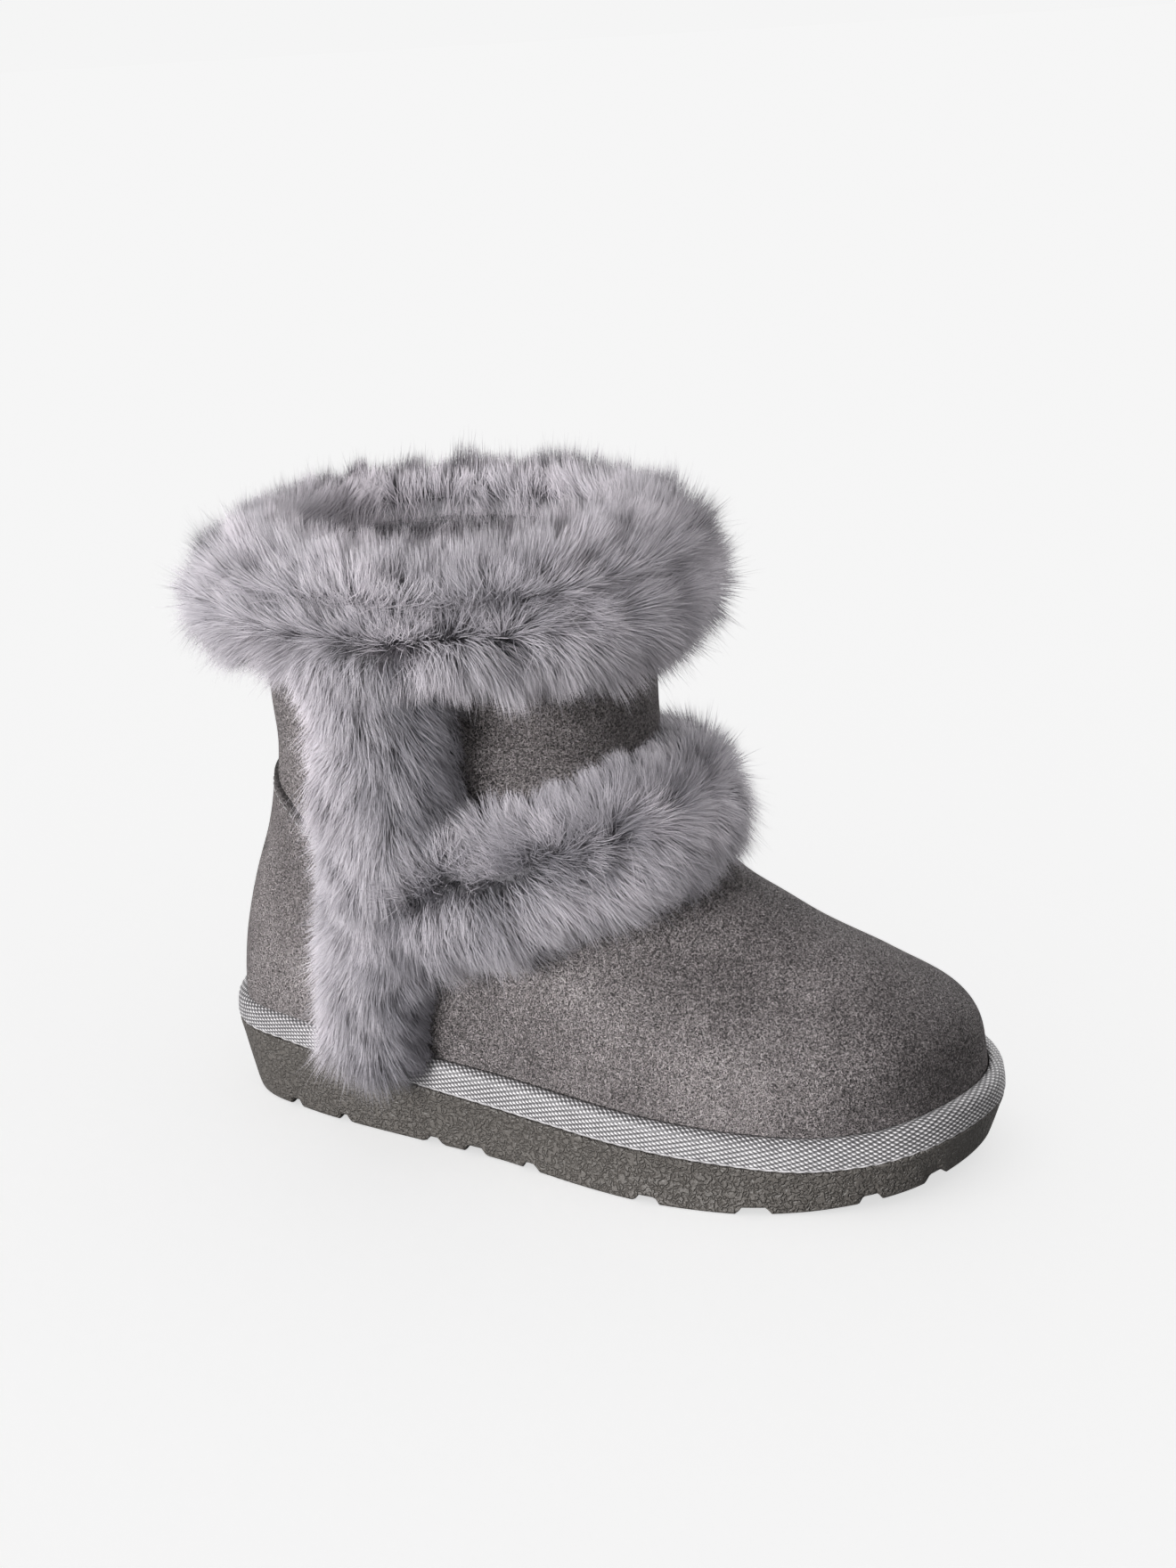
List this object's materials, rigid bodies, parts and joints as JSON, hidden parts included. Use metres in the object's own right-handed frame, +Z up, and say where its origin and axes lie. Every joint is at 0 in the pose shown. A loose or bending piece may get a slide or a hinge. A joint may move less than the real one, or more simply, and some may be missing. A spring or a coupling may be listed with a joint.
{
  "type": "fur-trimmed winter ankle boot",
  "caption": "Child's pull-on winter ankle boot in grey suede with plush fur collar, fur side strip and instep band, woven foxing tape and lugged rubber sole.",
  "frame": {"origin": "on the floor, under the middle of the boot's bounding box", "axes": "+Z up, -Y from the heel to the toe, -X towards the wearer's outer (lateral) side; this is a right boot"},
  "size_m": [0.1082, 0.1998, 0.1547],
  "materials": {
    "sole_rubber": "matt, finely pebbled",
    "suede": "napped suede, matt",
    "insole_plush": "short plush",
    "woven_tape": "twill weave, slight sheen",
    "fur": "long plush fur, soft clumps"
  },
  "bodies": {
    "root": {"outsole": "sole_rubber", "upper": "suede", "insole": "insole_plush", "foxing_tape": "woven_tape", "fur_collar": "fur", "fur_side_strip": "fur", "fur_instep_band": "fur"}
  },
  "joints": []
}
